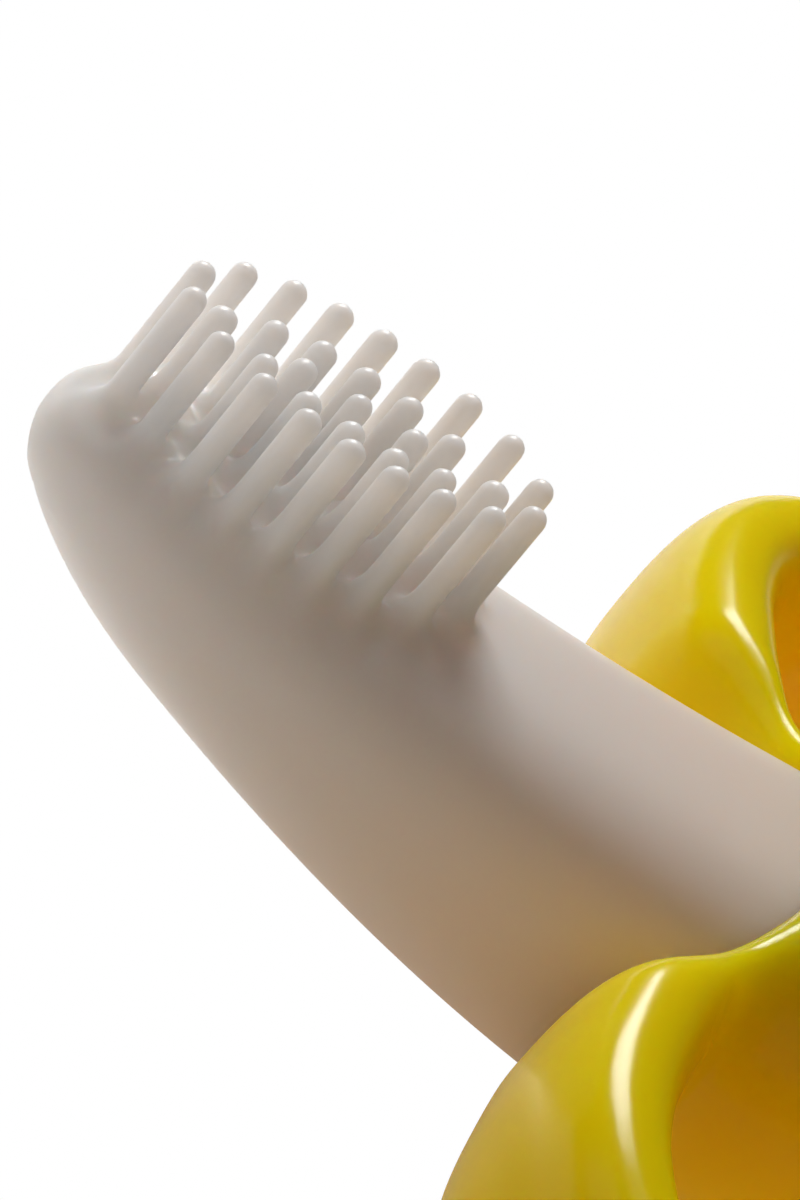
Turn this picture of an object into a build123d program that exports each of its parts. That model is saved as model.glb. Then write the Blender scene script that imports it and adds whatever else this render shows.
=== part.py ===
"""Banana-shaped silicone training toothbrush with two finger loops.

The brush lies on its back: +Y runs towards the bristled tip, +Z is the way
the bristles point, and X = 0 is the plane of symmetry.  The origin is the
bottom centre of the whole brush.  Stations along the brush are distances
back from the tip of the head.  All sizes are in millimetres.
"""

import math
import os

from build123d import *

# Whole brush
LENGTH = 110.0
TIP_Y = LENGTH / 2

# White head and neck
NOSE_LENGTH = 10.25  # the head rounds off over this length
NOSE_POWER = 2.5
NOSE_DROOP = 0.55  # the very tip hangs this far below the spine
HEAD_POWER = 2.7  # superellipse power of the head's sections
NECK_STATION = 35.0  # the spine turns gently upwards beyond this
SPINE_AT_TIP = 12.3  # height of the section centres above the table
TANG_STATION = 37.0  # the core narrows to its tang from here
TANG_END = 62.0
TANG_SHARES = (0.92, 0.65)  # tang against the neck's section, at its start and end

# Yellow body
PEEL_POWER = 2.4  # superellipse power of the peel's sections
COLLAR_STATION = 31.0
NOTCH_STATION = 38.5  # bottom of the U where the peel opens, at the front
NOTCH_RADIUS = 22.0
NOTCH_LEAN = 18.0  # degrees; the peel reaches further up at the back
NOTCH_FRONT = 16.0  # height at which the U's bottom is measured
STEM_STATION = 99.0
STEM_ROUNDING = 2.0

# Peel loops
LOOP_THICKNESS = 6.0  # seen along the bristles
LOOP_DEPTH = 13.4  # measured along the bristles
LOOP_POWER = 2.6  # superellipse power of the band's sections
LOOP_SECTIONS = 18  # lofted steps along the loop
SECTION_POINTS = 24

# Bristles
BRISTLE_DIAMETER = 1.2
COLUMN_OFFSETS = (0.0, 2.2, 4.45, 6.75, 8.5)  # from the middle column out
MIDDLE_STATION = 10.55  # middle column of bristles
OUTER_HALF_WIDTHS = (5.7, 5.52, 4.9, 3.66, 1.38)  # from the middle column out
INNER_HALF_WIDTHS = (2.78, 2.64, 1.75, 0.0)
CENTRE_PITCH = 2.76
TIP_HEIGHT = 20.75  # centre of the middle outer bristles' rounded tips
TIP_RISE = 0.051  # the tips climb this much per millimetre towards the neck
INNER_STEP = 0.63  # inner bristles are this much shorter
ROOT_FLARE_RADIUS = 1.0
ROOT_FLARE_LENGTH = 0.9
ROOT_DEPTH = 1.5  # built this far into the core before trimming to it
FLARE_DEPTH = 0.4


def nose(s):
    """Growth of the section from 0 at the tip to 1 behind the nose."""
    left = max(0.0, 1.0 - s / NOSE_LENGTH)
    return (1.0 - left**NOSE_POWER) ** (1.0 / NOSE_POWER)


def half_width(s):
    return (5.95 + 0.1645 * s - 0.00104 * s**2) * nose(s)


def half_height(s):
    return (3.43 + 0.161 * s - 0.00154 * s**2) * nose(s)


def spine(s):
    """Height of the section centres: a banana's slow curve."""
    near = min(s, NECK_STATION)
    far = max(0.0, s - NECK_STATION)
    height = SPINE_AT_TIP - 0.1825 * near + 0.00083 * near**2 + 0.000046 * near**3
    return height + 0.045 * far + 0.0006 * far**2 - NOSE_DROOP * (1.0 - nose(s))


def superellipse(plane, wide, high, power):
    """Closed face on a plane, wide and high being its half sizes."""
    points = []
    for i in range(SECTION_POINTS):
        angle = 2 * math.pi * (i + 0.5) / SECTION_POINTS
        cosine = math.cos(angle)
        sine = math.sin(angle)
        x = wide * math.copysign(abs(cosine) ** (2 / power), cosine)
        y = high * math.copysign(abs(sine) ** (2 / power), sine)
        points.append((x, y))
    with BuildSketch(plane) as outline:
        with BuildLine():
            Spline(*points, periodic=True)
        make_face()
    return outline.sketch


def section(s, wide, high, centre, power):
    """Section across the brush at station s."""
    plane = Plane(origin=(0, TIP_Y - s, centre), x_dir=(1, 0, 0), z_dir=(0, -1, 0))
    return superellipse(plane, wide, high, power)


def head_section(s):
    return section(s, half_width(s), half_height(s), spine(s), HEAD_POWER)


def peel_section(s, wide, high):
    return section(s, wide, high, spine(s), PEEL_POWER)


def top_of_core(x, s):
    """Height of the head's upper surface at x, station s."""
    share = min(1.0, abs(x) / half_width(s))
    return spine(s) + half_height(s) * (1.0 - share**HEAD_POWER) ** (1.0 / HEAD_POWER)


# ---------------------------------------------------------------- white core
with BuildPart() as brush_core:
    head_stations = (0.1, 0.5, 1.3, 2.6, 4.5, 7.0, 10.25, 15.0, 21.0, 28.0, TANG_STATION)
    loft([head_section(s) for s in head_stations])
    neck_wide = half_width(TANG_STATION)
    neck_high = half_height(TANG_STATION)
    tang = []
    for share in (0.0, 0.35, 0.7, 1.0):
        s = TANG_STATION + share * (TANG_END - TANG_STATION)
        slim = TANG_SHARES[0] + (TANG_SHARES[1] - TANG_SHARES[0]) * share
        tang.append(section(s, neck_wide * slim, neck_high * slim, spine(s), HEAD_POWER))
    loft(tang)
brush_core.part.label = "brush_core"


# ------------------------------------------------------------------ bristles
def bristle_group(places):
    """Parallel bristles at (x, station, tip height), trimmed to the core."""
    radius = BRISTLE_DIAMETER / 2
    with BuildPart() as group:
        for x, s, tip in places:
            root = top_of_core(x, s)
            with Locations((x, TIP_Y - s, root - ROOT_DEPTH)):
                low = (Align.CENTER, Align.CENTER, Align.MIN)
                Cylinder(radius, tip - root + ROOT_DEPTH, align=low)
            with Locations((x, TIP_Y - s, tip)):
                Sphere(radius)
            with Locations((x, TIP_Y - s, root - FLARE_DEPTH)):
                Cone(ROOT_FLARE_RADIUS, radius, ROOT_FLARE_LENGTH + FLARE_DEPTH, align=low)
        add(brush_core.part, mode=Mode.SUBTRACT)
    return group.part


def column_station(column):
    return MIDDLE_STATION + math.copysign(COLUMN_OFFSETS[abs(column)], column)


def tip_height(s):
    return TIP_HEIGHT + TIP_RISE * (s - MIDDLE_STATION)


outer_places = []
for column in range(-4, 5):
    station = column_station(column)
    x = OUTER_HALF_WIDTHS[abs(column)]
    for side in (-1, 1):
        outer_places.append((side * x, station, tip_height(station)))

inner_places = []
for column in range(-3, 4):
    station = column_station(column)
    x = INNER_HALF_WIDTHS[abs(column)]
    for side in (-1, 1) if x else (1,):
        inner_places.append((side * x, station, tip_height(station) - INNER_STEP))

centre_places = []
for column in (-1, 0, 1):
    station = MIDDLE_STATION + CENTRE_PITCH * column
    centre_places.append((0, station, tip_height(station) - INNER_STEP))

outer_bristles = bristle_group(outer_places)
outer_bristles.label = "outer_bristles"
inner_bristles = bristle_group(inner_places)
inner_bristles.label = "inner_bristles"
centre_bristles = bristle_group(centre_places)
centre_bristles.label = "centre_bristles"

# --------------------------------------------------------------- yellow body
with BuildPart() as mouth:
    bottom = (0, TIP_Y - NOTCH_STATION + NOTCH_RADIUS, NOTCH_FRONT)
    with Locations(Location(bottom, (-NOTCH_LEAN, 0, 0))):
        Cylinder(NOTCH_RADIUS, 4 * NOTCH_FRONT)

with BuildPart() as banana_body:
    loft([
        peel_section(COLLAR_STATION, 11.3, 8.2),
        peel_section(37.0, 12.0, 8.6),
        peel_section(46.0, 12.2, 9.0),
        peel_section(58.0, 11.9, 9.1),
        peel_section(72.0, 10.5, 8.5),
        peel_section(85.0, 8.2, 7.3),
        peel_section(94.0, 6.4, 6.2),
        peel_section(STEM_STATION, 5.6, 5.5),
        peel_section(106.0, 5.3, 5.1),
        peel_section(LENGTH, 5.4, 5.2),
    ])
    stem_end = banana_body.faces().sort_by(Axis.Y)[0]
    fillet(stem_end.edges(), radius=STEM_ROUNDING)
    add(brush_core.part, mode=Mode.SUBTRACT)
    add(mouth.part, mode=Mode.SUBTRACT)
banana_body.part.label = "banana_body"

# --------------------------------------------------------------- peel loops
# Centreline of the right loop: out of the neck, over its crest, round the
# finger hole and back into the body.  It is flat where the brush rests.
REST_HEIGHT = LOOP_DEPTH / 2
LOOP_ROUTE = (
    (7.0, TIP_Y - 35.6, REST_HEIGHT + 2.3),
    (13.0, TIP_Y - 33.9, REST_HEIGHT + 2.1),
    (18.5, TIP_Y - 33.0, REST_HEIGHT + 1.8),
    (23.5, TIP_Y - 32.6, REST_HEIGHT + 1.5),
    (28.6, TIP_Y - 33.1, REST_HEIGHT + 1.2),
    (33.4, TIP_Y - 34.9, REST_HEIGHT + 0.8),
    (37.2, TIP_Y - 37.9, REST_HEIGHT + 0.4),
    (39.4, TIP_Y - 42.2, REST_HEIGHT + 0.1),
    (39.7, TIP_Y - 48.0, REST_HEIGHT),
    (38.0, TIP_Y - 55.4, REST_HEIGHT),
    (34.2, TIP_Y - 63.0, REST_HEIGHT + 0.1),
    (28.2, TIP_Y - 70.2, REST_HEIGHT + 0.5),
    (20.0, TIP_Y - 76.2, REST_HEIGHT + 1.7),
    (13.0, TIP_Y - 79.8, REST_HEIGHT + 3.1),
    (7.0, TIP_Y - 82.2, REST_HEIGHT + 4.2),
)


def band_section(share, route):
    """Upright superellipse across the loop's band, part way along its route."""
    along = route % share
    plane = Plane(
        origin=route @ share,
        x_dir=(0, 0, 1),
        z_dir=(along.X, along.Y, 0),
    )
    return superellipse(plane, LOOP_DEPTH / 2, LOOP_THICKNESS / 2, LOOP_POWER)


def peel_loop(side):
    """Finger loop on one side, meeting the body and the core face to face."""
    with BuildLine() as route:
        Spline(*[(side * x, y, z) for x, y, z in LOOP_ROUTE])
    with BuildPart() as loop:
        shares = [i / LOOP_SECTIONS for i in range(LOOP_SECTIONS + 1)]
        loft([band_section(share, route.line) for share in shares])
        add(banana_body.part, mode=Mode.SUBTRACT)
        add(brush_core.part, mode=Mode.SUBTRACT)
        add(mouth.part, mode=Mode.SUBTRACT)
    return loop.part


left_peel_loop = peel_loop(-1)
left_peel_loop.label = "left_peel_loop"
right_peel_loop = peel_loop(1)
right_peel_loop.label = "right_peel_loop"

# -------------------------------------------------------------------- export
os.makedirs("parts", exist_ok=True)
pieces = (
    brush_core.part,
    outer_bristles,
    inner_bristles,
    centre_bristles,
    banana_body.part,
    left_peel_loop,
    right_peel_loop,
)
for piece in pieces:
    export_step(piece, f"parts/{piece.label}.step")
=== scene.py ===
"""Looks for the banana-shaped silicone training toothbrush.

Two moulded skins stand for the CAD nodes: the white head with its bristles
and the yellow peel with its finger loops.  Each is a distance field, turned
into an even quad mesh and pressed onto its exact surface.  The fields work in
millimetres, in the CAD model's frame; the meshes are in metres.
"""

import math

import bpy
import numpy as np
from mathutils import Matrix, Vector


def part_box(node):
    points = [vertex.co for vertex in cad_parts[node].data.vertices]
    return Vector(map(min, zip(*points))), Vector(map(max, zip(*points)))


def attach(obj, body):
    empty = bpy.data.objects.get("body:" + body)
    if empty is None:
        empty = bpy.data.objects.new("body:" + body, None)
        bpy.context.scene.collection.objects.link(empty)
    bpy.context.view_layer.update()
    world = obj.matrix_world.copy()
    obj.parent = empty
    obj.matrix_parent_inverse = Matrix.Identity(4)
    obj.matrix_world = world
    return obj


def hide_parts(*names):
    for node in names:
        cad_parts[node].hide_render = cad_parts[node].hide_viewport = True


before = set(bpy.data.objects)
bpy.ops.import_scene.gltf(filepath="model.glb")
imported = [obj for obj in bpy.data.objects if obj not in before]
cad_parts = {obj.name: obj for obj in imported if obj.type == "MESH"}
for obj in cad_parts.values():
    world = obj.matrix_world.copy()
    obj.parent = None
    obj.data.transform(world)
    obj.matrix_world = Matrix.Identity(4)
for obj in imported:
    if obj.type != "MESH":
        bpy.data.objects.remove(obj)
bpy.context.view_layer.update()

MM = 0.001

# Places from the frame, in millimetres
STEM_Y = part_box("banana_body")[0][1] / MM
TIP_Y = -STEM_Y  # the origin is at mid length
LENGTH = TIP_Y - STEM_Y

# White head, by stations measured back from the tip
NOSE_LENGTH = 10.25
NOSE_POWER = 2.5
NOSE_DROOP = 0.55
HEAD_POWER = 2.7
NECK_STATION = 35.0
SPINE_AT_TIP = 12.3
CORE_END = 44.0
CORE_END_ROUNDING = 1.0

# Bristles
BRISTLE_RADIUS = 0.6
COLUMN_OFFSETS = (0.0, 2.2, 4.45, 6.75, 8.5)
MIDDLE_STATION = 10.55
OUTER_HALF_WIDTHS = (5.7, 5.52, 4.9, 3.66, 1.38)
INNER_HALF_WIDTHS = (2.78, 2.64, 1.75, 0.0)
CENTRE_PITCH = 2.76
TIP_HEIGHT = 20.75
TIP_RISE = 0.051
INNER_STEP = 0.63
ROOT_BLEND = 1.5
ROOT_REACH = 2.6  # a bristle's root changes nothing farther out than this
SHANK_BOTTOM = 11.0  # the shanks start at this height, inside the core

# Yellow peel
COLLAR_STATION = 31.0
PEEL_POWER = 2.4
NOTCH_STATION = 38.5
NOTCH_RADIUS = 22.0
NOTCH_LEAN = 0.32  # the mouth moves up the brush this much per millimetre of depth
NOTCH_FRONT = 16.0
MOUTH_ROUNDING = 1.6
STEM_ROUNDING = 3.0
COLLAR_ROUNDING = 1.0
BODY_STATIONS = (
    COLLAR_STATION, 37.0, 46.0, 58.0, 72.0, 85.0, 94.0, 99.0, 106.0, 112.0,
)
BODY_HALF_WIDTHS = (11.3, 12.0, 12.2, 11.9, 10.5, 8.2, 6.4, 5.6, 5.3, 5.5)
BODY_HALF_HEIGHTS = (8.2, 8.6, 9.0, 9.1, 8.5, 7.3, 6.2, 5.5, 5.1, 5.2)
LOOP_THICKNESS = 6.0
LOOP_DEPTH = 13.4
LOOP_POWER = 2.6
LOOP_BLEND = 3.0
PLAN_STEP = 0.25  # spacing of the plan tables
ROUTE_POINTS = 900  # points along the smoothed centreline
# Right loop's centreline: across, station, height over its resting height
LOOP_ROUTE = (
    (4.5, 36.6, 2.4),
    (7.0, 35.6, 2.3),
    (13.0, 33.9, 2.1),
    (18.5, 33.0, 1.8),
    (23.5, 32.6, 1.5),
    (28.6, 33.1, 1.2),
    (33.4, 34.9, 0.8),
    (37.2, 37.9, 0.4),
    (39.4, 42.2, 0.1),
    (39.7, 48.0, 0.0),
    (38.0, 55.4, 0.0),
    (34.2, 63.0, 0.1),
    (28.2, 70.2, 0.5),
    (20.0, 76.2, 1.7),
    (13.0, 79.8, 3.1),
    (7.0, 82.2, 4.2),
    (4.0, 83.7, 4.7),
)


# ---------------------------------------------------------------- field kit
def blend(a, b, width):
    """Union of two fields with a fillet of about that width."""
    near = np.maximum(width - np.abs(a - b), 0.0) / width
    return np.minimum(a, b) - near * near * width / 4


def trim(a, b, width):
    """Intersection of two fields with a rounded edge."""
    return -blend(-a, -b, width)


def nose(s):
    left = np.clip(1.0 - s / NOSE_LENGTH, 0.0, 1.0)
    return (1.0 - left**NOSE_POWER) ** (1.0 / NOSE_POWER)


def spine(s):
    near = np.minimum(s, NECK_STATION)
    far = np.maximum(0.0, s - NECK_STATION)
    height = SPINE_AT_TIP - 0.1825 * near + 0.00083 * near**2 + 0.000046 * near**3
    return height + 0.045 * far + 0.0006 * far**2 - NOSE_DROOP * (1.0 - nose(s))


def head_half_width(s):
    return 5.95 + 0.1645 * s - 0.00104 * s**2


def head_half_height(s):
    return 3.43 + 0.161 * s - 0.00154 * s**2


def core_field(x, y, z):
    """Head and neck: superellipse sections closed by a rounded nose."""
    s = TIP_Y - y
    inside = np.clip(s, 0.0, LENGTH)
    dz = z - spine(inside)
    across = np.abs(x) / head_half_width(inside)
    along = np.abs(dz) / head_half_height(inside)
    ring = (across**HEAD_POWER + along**HEAD_POWER) ** (1.0 / HEAD_POWER)
    back = np.maximum(0.0, 1.0 - s / NOSE_LENGTH)
    reach = (ring**NOSE_POWER + back**NOSE_POWER) ** (1.0 / NOSE_POWER)
    reach = np.maximum(reach, 0.02)
    length = np.sqrt(x * x + dz * dz + (NOSE_LENGTH * back) ** 2)
    skin = np.where(length > 0.3, length * (1.0 - 1.0 / reach), -2.0)
    return trim(skin, s - CORE_END, CORE_END_ROUNDING)


def bristle_places():
    """Each bristle's x, y and the height of its rounded tip's centre."""
    places = []
    for ring, drop in ((OUTER_HALF_WIDTHS, 0.0), (INNER_HALF_WIDTHS, INNER_STEP)):
        last = len(ring) - 1
        for column in range(-last, last + 1):
            x = ring[abs(column)]
            offset = math.copysign(COLUMN_OFFSETS[abs(column)], column)
            for side in (-1, 1) if x else (1,):
                places.append((side * x, offset, drop))
    for column in (-1, 0, 1):
        places.append((0.0, CENTRE_PITCH * column, INNER_STEP))
    middle = TIP_Y - MIDDLE_STATION
    return [(x, middle - d, TIP_HEIGHT + TIP_RISE * d - drop) for x, d, drop in places]


def brush_field(x, y, z):
    """The core with its bristles and their filleted roots."""
    field = core_field(x, y, z)
    for bx, by, tip in bristle_places():
        near = (np.abs(x - bx) < ROOT_REACH) & (np.abs(y - by) < ROOT_REACH)
        near &= z > SHANK_BOTTOM - 1.0
        if not near.any():
            continue
        px, py, pz = x[near] - bx, y[near] - by, z[near]
        shank = np.sqrt(px**2 + py**2 + np.maximum(pz - tip, 0.0) ** 2) - BRISTLE_RADIUS
        shank = np.maximum(shank, SHANK_BOTTOM - pz)
        field[near] = blend(field[near], shank, ROOT_BLEND)
    return field


def through(stations, values):
    """Smooth curve through a few stations, as a function of the station."""
    stations, values = np.array(stations, float), np.array(values, float)
    slopes = np.gradient(values, stations)

    def curve(s):
        s = np.clip(s, stations[0], stations[-1])
        i = np.clip(np.searchsorted(stations, s) - 1, 0, len(stations) - 2)
        gap = stations[i + 1] - stations[i]
        t = (s - stations[i]) / gap
        return (
            values[i] * (1 + 2 * t) * (1 - t) ** 2
            + values[i + 1] * t * t * (3 - 2 * t)
            + gap * slopes[i] * t * (1 - t) ** 2
            - gap * slopes[i + 1] * t * t * (1 - t)
        )

    return curve


body_half_width = through(BODY_STATIONS, BODY_HALF_WIDTHS)
body_half_height = through(BODY_STATIONS, BODY_HALF_HEIGHTS)


def loop_plan():
    """Distance to the loop's centreline and its height, on a fine plan grid."""
    route = np.array(LOOP_ROUTE)
    steps = np.hypot(*np.diff(route[:, :2], axis=0).T)
    travel = np.concatenate([[0.0], np.cumsum(steps)])
    fine = np.linspace(0.0, travel[-1], ROUTE_POINTS)
    line = [through(travel, route[:, k])(fine) for k in range(3)]
    xs = np.arange(0.0, 47.0, PLAN_STEP)
    ss = np.arange(24.0, 92.0, PLAN_STEP)
    gap = (xs[:, None, None] - line[0]) ** 2 + (ss[None, :, None] - line[1]) ** 2
    nearest = gap.argmin(axis=2)
    return xs, ss, np.sqrt(gap.min(axis=2)), line[2][nearest] + LOOP_DEPTH / 2


PLAN_X, PLAN_S, PLAN_DISTANCE, PLAN_HEIGHT = loop_plan()


def read_plan(table, x, s):
    """Bilinear reading of a plan table."""
    u = np.clip((x - PLAN_X[0]) / PLAN_STEP, 0, len(PLAN_X) - 1.001)
    v = np.clip((s - PLAN_S[0]) / PLAN_STEP, 0, len(PLAN_S) - 1.001)
    i, j = u.astype(int), v.astype(int)
    u, v = u - i, v - j
    low = table[i, j] * (1 - v) + table[i, j + 1] * v
    high = table[i + 1, j] * (1 - v) + table[i + 1, j + 1] * v
    return low * (1 - u) + high * u


def peel_field(x, y, z):
    """Lower body, both loops and the U-shaped mouths of the peel."""
    s = TIP_Y - y
    dz = z - spine(np.clip(s, 0.0, LENGTH + 5))
    across = np.abs(x) / body_half_width(s)
    along = np.abs(dz) / body_half_height(s)
    ring = np.maximum((across**PEEL_POWER + along**PEEL_POWER) ** (1 / PEEL_POWER), 0.05)
    body = np.hypot(x, dz) * (1.0 - 1.0 / ring)
    body = np.where(ring > 0.1, body, -3.0)
    body = trim(body, s - LENGTH, STEM_ROUNDING)
    body = trim(body, COLLAR_STATION - s, COLLAR_ROUNDING)

    side = np.abs(x)
    flat = read_plan(PLAN_DISTANCE, side, s)
    dz = z - read_plan(PLAN_HEIGHT, side, s)
    ring = (np.abs(flat / (LOOP_THICKNESS / 2)) ** LOOP_POWER
            + np.abs(dz / (LOOP_DEPTH / 2)) ** LOOP_POWER) ** (1 / LOOP_POWER)
    ring = np.maximum(ring, 0.05)
    loop = np.where(ring > 0.1, np.hypot(flat, dz) * (1.0 - 1.0 / ring), -3.0)

    skin = blend(body, loop, LOOP_BLEND)
    centre = NOTCH_STATION - NOTCH_RADIUS - NOTCH_LEAN * (NOTCH_FRONT - z)
    mouth = NOTCH_RADIUS - np.hypot(x, s - centre)
    return trim(skin, mouth, MOUTH_ROUNDING)


# ------------------------------------------------------------- mesh building
PROBE = 0.02  # distance over which a field's slope is measured
LONGEST_MOVE = 0.25  # farthest that a point is pressed in one round
EVENING = 0.6  # share of the way to the neighbours' mean


def quads_round(field, low, high, step):
    """Surface-net quads round a field: cell centres and their faces."""
    axes = [np.arange(a, b + step, step) for a, b in zip(low, high)]
    inside = np.empty([len(a) for a in axes], bool)
    for i, x in enumerate(axes[0]):
        y, z = np.meshgrid(axes[1], axes[2], indexing="ij")
        inside[i] = field(np.full(y.shape, x), y, z) < 0.0
    a, b, c = [n - 1 for n in inside.shape]
    corner = [
        inside[i:i + a, j:j + b, k:k + c]
        for i in (0, 1) for j in (0, 1) for k in (0, 1)
    ]
    count = sum(c.astype(np.int8) for c in corner)
    mixed = (count > 0) & (count < 8)
    number = np.full(mixed.shape, -1)
    number[mixed] = np.arange(mixed.sum())
    cells = np.argwhere(mixed)
    points = np.stack([axes[k][cells[:, k]] + step / 2 for k in range(3)], axis=1)
    faces = []
    for axis in range(3):
        here = np.take(inside, range(inside.shape[axis] - 1), axis)
        there = np.take(inside, range(1, inside.shape[axis]), axis)
        i, j, k = np.argwhere(here != there).T
        out = here[i, j, k]
        b, c = [np.eye(3, dtype=int)[(axis + n) % 3] for n in (1, 2)]
        at = np.stack([i, j, k], axis=1)
        ring = [at - b - c, at - c, at, at - b]
        ids = np.stack([number[tuple(r.T)] for r in ring], axis=1)
        faces.append(np.where(out[:, None], ids, ids[:, ::-1]))
    return points, np.concatenate(faces)


def press_onto(field, points, rounds=1):
    """Moves points along the field's slope onto its surface."""
    for _ in range(rounds):
        x, y, z = points.T
        value = field(x, y, z)
        slope = np.stack([
            field(x + PROBE, y, z) - value,
            field(x, y + PROBE, z) - value,
            field(x, y, z + PROBE) - value,
        ], axis=1) / PROBE
        size = np.maximum((slope**2).sum(axis=1), 0.05)
        step = -value / size
        move = slope * step[:, None]
        far = np.sqrt((move**2).sum(axis=1))
        move *= np.minimum(1.0, LONGEST_MOVE / np.maximum(far, 1e-9))[:, None]
        points = points + move
    return points


def relax(points, faces, amount):
    """Evens out the spacing: each point goes towards its neighbours' mean."""
    total = np.zeros_like(points)
    count = np.zeros(len(points))
    for a, b in ((0, 1), (1, 2), (2, 3), (3, 0)):
        for p, q in ((a, b), (b, a)):
            for k in range(3):
                total[:, k] += np.bincount(faces[:, p], points[faces[:, q], k], len(points))
            count += np.bincount(faces[:, p], minlength=len(points))
    return points + amount * (total / count[:, None] - points)


def moulded(name, field, low, high, step, material):
    """A smooth quad mesh of a field, as an object in metres."""
    points, faces = quads_round(field, low, high, step)
    points = press_onto(field, points, 3)
    for _ in range(3):
        points = relax(points, faces, EVENING)
        points = press_onto(field, points, 2)
    mesh = bpy.data.meshes.new(name)
    mesh.from_pydata((points * MM).tolist(), [], faces.tolist())
    mesh.validate()
    mesh.update()
    mesh.polygons.foreach_set("use_smooth", [True] * len(mesh.polygons))
    mesh.materials.append(material)
    piece = bpy.data.objects.new(name, mesh)
    bpy.context.collection.objects.link(piece)
    return piece


# ------------------------------------------------------------------ materials
def silicone(name, colour, deep, reach, roughness, radius, weight, grain):
    """Translucent moulded silicone with a fine satin mould texture.

    The base colour turns from deep to colour along the brush, between the two
    y places in reach, in millimetres.  On the white part this stands in for
    the yellow light that bleeds into it from the peel.
    """
    material = bpy.data.materials.new(name)
    material.use_nodes = True
    tree = material.node_tree
    nodes, links = tree.nodes, tree.links
    shader = nodes["Principled BSDF"]
    place = nodes.new("ShaderNodeTexCoord")

    axes = nodes.new("ShaderNodeSeparateXYZ")
    links.new(place.outputs["Object"], axes.inputs["Vector"])
    along = nodes.new("ShaderNodeMapRange")
    along.interpolation_type = "SMOOTHSTEP"
    along.inputs["From Min"].default_value = reach[0] * MM
    along.inputs["From Max"].default_value = reach[1] * MM
    links.new(axes.outputs["Y"], along.inputs["Value"])
    tint = nodes.new("ShaderNodeMix")
    tint.data_type = "RGBA"
    tint.inputs["A"].default_value = (*deep, 1.0)
    tint.inputs["B"].default_value = (*colour, 1.0)
    links.new(along.outputs["Result"], tint.inputs["Factor"])
    links.new(tint.outputs["Result"], shader.inputs["Base Color"])

    fine = nodes.new("ShaderNodeTexNoise")
    fine.inputs["Scale"].default_value = 2600.0
    fine.inputs["Detail"].default_value = 2.0
    links.new(place.outputs["Object"], fine.inputs["Vector"])
    spread = nodes.new("ShaderNodeMapRange")
    spread.inputs["To Min"].default_value = roughness - 0.05
    spread.inputs["To Max"].default_value = roughness + 0.05
    links.new(fine.outputs["Fac"], spread.inputs["Value"])
    links.new(spread.outputs["Result"], shader.inputs["Roughness"])
    bump = nodes.new("ShaderNodeBump")
    bump.inputs["Strength"].default_value = grain
    bump.inputs["Distance"].default_value = 0.00002
    links.new(fine.outputs["Fac"], bump.inputs["Height"])
    links.new(bump.outputs["Normal"], shader.inputs["Normal"])

    shader.inputs["IOR"].default_value = 1.41
    shader.inputs["Subsurface Weight"].default_value = weight
    shader.inputs["Subsurface Scale"].default_value = 1.0
    shader.inputs["Subsurface Radius"].default_value = radius
    return material


# The white's second colour (0.85, 0.665, 0.52) is painted yellow light: a warmer, browner base
# colour towards the neck that stands in for the peel's light bleeding through the silicone.
white_silicone = silicone(
    "white_silicone", (0.86, 0.835, 0.81), (0.85, 0.665, 0.52), (8.0, 46.0),
    0.34, (0.0062, 0.0050, 0.0042), 0.9, 0.25,
)
yellow_silicone = silicone(
    "yellow_silicone", (1.0, 0.65, 0.0), (1.0, 0.63, 0.0), (-30.0, 20.0),
    0.2, (0.0090, 0.0064, 0.0002), 0.9, 0.1,
)
peel_shader = yellow_silicone.node_tree.nodes["Principled BSDF"]
peel_shader.inputs["Specular IOR Level"].default_value = 0.2

# --------------------------------------------------------------------- pieces
FINE = 1.0
BRUSH_MESH = 0.2  # mesh spacing in millimetres
PEEL_MESH = 0.4

brush = moulded(
    "white_head_with_bristles", brush_field,
    (-12.4, TIP_Y - CORE_END - 1.5, 0.4), (12.4, TIP_Y + 1.0, 23.2),
    BRUSH_MESH * FINE, white_silicone,
)
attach(brush, "root")
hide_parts("brush_core", "outer_bristles", "inner_bristles", "centre_bristles")

peel = moulded(
    "yellow_peel_with_loops", peel_field,
    (-44.6, STEM_Y - 1.0, -1.0), (44.6, TIP_Y - 27.0, 22.0),
    PEEL_MESH * FINE, yellow_silicone,
)
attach(peel, "root")
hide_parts("banana_body", "left_peel_loop", "right_peel_loop")


# ---------------------------------------------------------------------- stage
def white_to_the_eye(tree, plain, output):
    """The camera sees plain white; all other rays meet the given shader."""
    seen = tree.nodes.new("ShaderNodeEmission")
    seen.inputs["Strength"].default_value = 1.0
    path = tree.nodes.new("ShaderNodeLightPath")
    mix = tree.nodes.new("ShaderNodeMixShader")
    tree.links.new(path.outputs["Is Camera Ray"], mix.inputs["Fac"])
    tree.links.new(plain, mix.inputs[1])
    tree.links.new(seen.outputs["Emission"], mix.inputs[2])
    tree.links.new(mix.outputs["Shader"], output)


def floor():
    mesh = bpy.data.meshes.new("floor")
    half = 1.6
    corners = [(-half, -half, 0), (half, -half, 0), (half, half, 0), (-half, half, 0)]
    mesh.from_pydata(corners, [], [(0, 1, 2, 3)])
    material = bpy.data.materials.new("floor")
    material.use_nodes = True
    tree = material.node_tree
    shader = tree.nodes["Principled BSDF"]
    shader.inputs["Base Color"].default_value = (0.9, 0.9, 0.9, 1.0)
    shader.inputs["Roughness"].default_value = 0.9
    shader.inputs["Specular IOR Level"].default_value = 0.1
    shader.inputs["Emission Color"].default_value = (1.0, 0.82, 0.68, 1.0)
    shader.inputs["Emission Strength"].default_value = FLOOR_LIGHT
    output = tree.nodes["Material Output"].inputs["Surface"]
    white_to_the_eye(tree, shader.outputs["BSDF"], output)
    mesh.materials.append(material)
    piece = bpy.data.objects.new("floor", mesh)
    bpy.context.collection.objects.link(piece)
    piece.location.z = -0.0001


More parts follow.
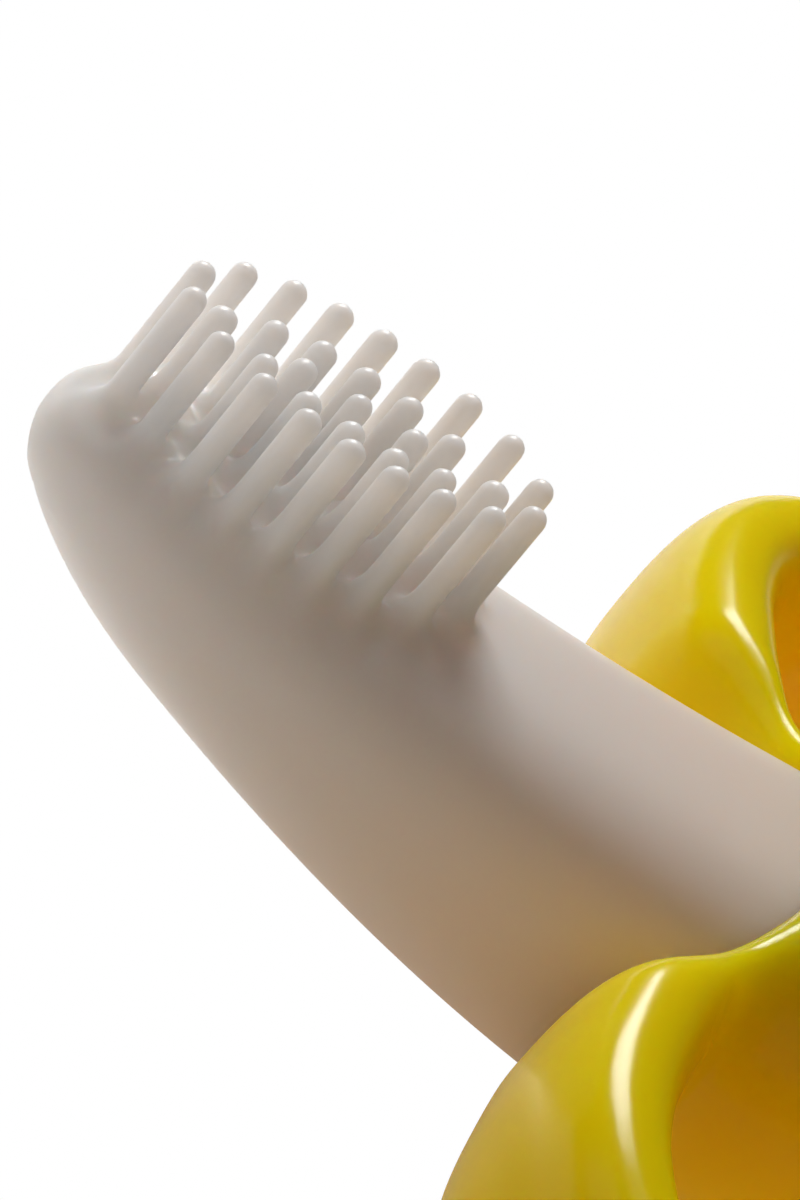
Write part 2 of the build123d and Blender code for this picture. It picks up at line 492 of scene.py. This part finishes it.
def softbox(name, place, target, size, watts, colour=(1.0, 1.0, 1.0)):
    data = bpy.data.lights.new(name, "AREA")
    data.shape = "RECTANGLE"
    data.size, data.size_y = size
    data.energy = watts
    data.color = colour
    light = bpy.data.objects.new(name, data)
    light.location = place
    light.rotation_euler = (Vector(target) - Vector(place)).to_track_quat("-Z", "Y").to_euler()
    bpy.context.collection.objects.link(light)
    return light


def surroundings():
    """A plain bright room, white to the eye and dimmer as a light."""
    world = bpy.data.worlds.new("studio")
    world.use_nodes = True
    tree = world.node_tree
    back = tree.nodes["Background"]
    back.inputs["Color"].default_value = (1.0, 1.0, 1.0, 1.0)
    back.inputs["Strength"].default_value = ROOM_LIGHT
    output = tree.nodes["World Output"].inputs["Surface"]
    white_to_the_eye(tree, back.outputs["Background"], output)
    bpy.context.scene.world = world


FLOOR_LIGHT = 0.175
ROOM_LIGHT = 0.02
floor()
surroundings()
HEAD = Vector((0.0, (TIP_Y - 15.0) * MM, 0.012))
softbox("back_softbox", (0.50, 0.20, 0.40), HEAD, (0.26, 0.26), 3.5)
softbox("top_softbox", (0.05, 0.15, 0.60), HEAD, (0.4, 0.4), 0.4)
softbox("tip_softbox", (0.10, 0.65, 0.30), HEAD, (0.4, 0.4), 0.28)
softbox("front_softbox", (-0.55, -0.10, 0.25), HEAD, (0.5, 0.5), 0.28, (1.0, 0.80, 0.66))

# --------------------------------------------------------------------- camera
CAMERA_AZIMUTH = 100.33  # direction of view, clockwise from +Y
CAMERA_DROP = 23.92  # degrees below the horizon
CAMERA_ROLL = 39.63
CAMERA_DISTANCE = 0.42216
AIM = Vector((0.0, 0.037881, 0.014049))


def camera():
    data = bpy.data.cameras.new("camera")
    data.lens = 300.0
    data.sensor_width = 36.0
    data.clip_start, data.clip_end = 0.01, 20.0
    azimuth, drop = math.radians(CAMERA_AZIMUTH), math.radians(CAMERA_DROP)
    forward = Vector((
        math.sin(azimuth) * math.cos(drop),
        math.cos(azimuth) * math.cos(drop),
        -math.sin(drop),
    ))
    level = forward.cross(Vector((0.0, 0.0, 1.0))).normalized()
    upward = level.cross(forward)
    roll = math.radians(CAMERA_ROLL)
    right = level * math.cos(roll) + upward * math.sin(roll)
    upward = right.cross(forward)
    seat = AIM - forward * CAMERA_DISTANCE
    turn = Matrix((right, upward, -forward)).transposed().to_4x4()
    viewer = bpy.data.objects.new("camera", data)
    viewer.matrix_world = Matrix.Translation(seat) @ turn
    bpy.context.collection.objects.link(viewer)
    bpy.context.scene.camera = viewer


camera()
bpy.context.scene.view_settings.view_transform = "Standard"
